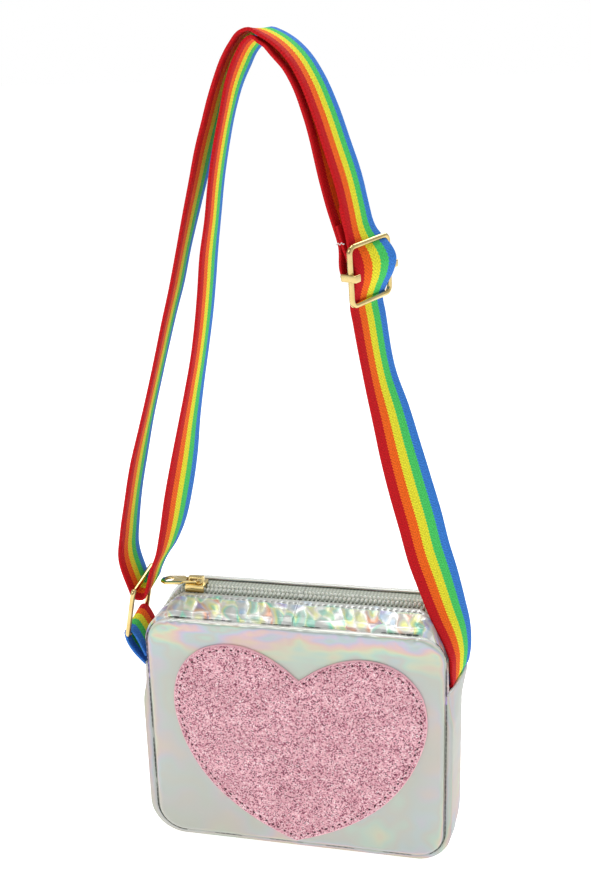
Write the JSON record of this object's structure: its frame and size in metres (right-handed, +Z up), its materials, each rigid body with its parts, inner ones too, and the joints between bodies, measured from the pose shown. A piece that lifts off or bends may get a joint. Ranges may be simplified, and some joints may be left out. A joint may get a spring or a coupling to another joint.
{
  "type": "crossbody purse",
  "caption": "Small box-shaped crossbody purse of holographic vinyl with a heart sewn on the front, a zip along the top, and a striped webbing strap with ring and adjuster.",
  "frame": {"origin": "on the resting face, under the middle of the bag", "axes": "+X to the right as the heart is seen, -Y the front with the heart, +Z up"},
  "size_m": [0.1789, 0.0516, 0.408],
  "materials": {
    "vinyl": "silver holographic coated vinyl, soft pastel sheen",
    "glitter_heart": "pink glitter sheet with a lighter cut edge",
    "foam": "white padding",
    "lining": "plain grey woven lining",
    "board": "grey board",
    "zip_tape": "grey woven zip tape",
    "zip_coil": "grey nylon coil",
    "gold_metal": "polished pale gold plating",
    "webbing": "woven webbing in five lengthwise stripes"
  },
  "bodies": {
    "bag": {"front_panel": "vinyl", "back_panel": "vinyl", "front_foam": "foam", "back_foam": "foam", "lining_front": "lining", "lining_back": "lining", "lining_gusset": "lining", "base_board": "board", "heart_applique": "glitter_heart", "lower_gusset": "vinyl", "zip_strip_ends": "vinyl", "zip_tape_ends": "zip_tape", "zip_coil_ends": "zip_coil", "zip_stops": "gold_metal", "ring_tab": "webbing", "strap_root": "webbing"},
    "mouth_front": {"zip_strip_front": "vinyl", "zip_tape_front": "zip_tape", "zip_coil_front": "zip_coil"},
    "mouth_back": {"zip_strip_back": "vinyl", "zip_tape_back": "zip_tape", "zip_coil_back": "zip_coil"},
    "slider": {"zip_slider": "gold_metal"},
    "pull": {"zip_pull": "gold_metal"},
    "strap": {"strap_outer": "webbing", "strap_inner": "webbing"},
    "ring": {"strap_ring": "gold_metal"},
    "adjuster": {"adjuster_bar": "gold_metal", "strap_end_loop": "webbing"},
    "adjuster_frame": {"adjuster_frame": "gold_metal"}
  },
  "joints": [
    {"name": "zip_slide", "type": "slide", "parent": "bag", "child": "slider", "axis": [1, 0, 0], "range_m": [0, 0.1108]},
    {"name": "pull_swing", "type": "hinge", "parent": "slider", "child": "pull", "pos_m": [-0.0554, 0, 0.1381], "axis": [0, 1, 0], "range_deg": [0, 178]},
    {"name": "mouth_front_open", "type": "hinge", "parent": "bag", "child": "mouth_front", "pos_m": [0, -0.0232, 0.128], "axis": [1, 0, 0], "range_deg": [0, 75]},
    {"name": "mouth_back_open", "type": "hinge", "parent": "bag", "child": "mouth_back", "pos_m": [0, 0.0232, 0.128], "axis": [-1, 0, 0], "range_deg": [0, 75]},
    {"name": "strap_swing", "type": "hinge", "parent": "bag", "child": "strap", "pos_m": [0, 0, 0.1], "axis": [1, 0, 0], "range_deg": [-95, 95], "deforming": ["ring_tab", "strap_root"]},
    {"name": "ring_swing", "type": "hinge", "parent": "strap", "child": "ring", "pos_m": [-0.0895, 0, 0.112], "axis": [0, 1, 0], "range_deg": [-5.5, 2]},
    {"name": "adjuster_slide", "type": "slide", "parent": "strap", "child": "adjuster", "axis": [-0.1698, 0, 0.9855], "range_m": [-0.03, 0.012]},
    {"name": "frame_slide", "type": "slide", "parent": "adjuster", "child": "adjuster_frame", "axis": [-0.0291, -0.0686, 0.9972], "range_m": [-0.004, 0.004]}
  ],
  "couplings": [
    {"joint": "mouth_back_open", "follows": "mouth_front_open", "ratio": 1}
  ]
}
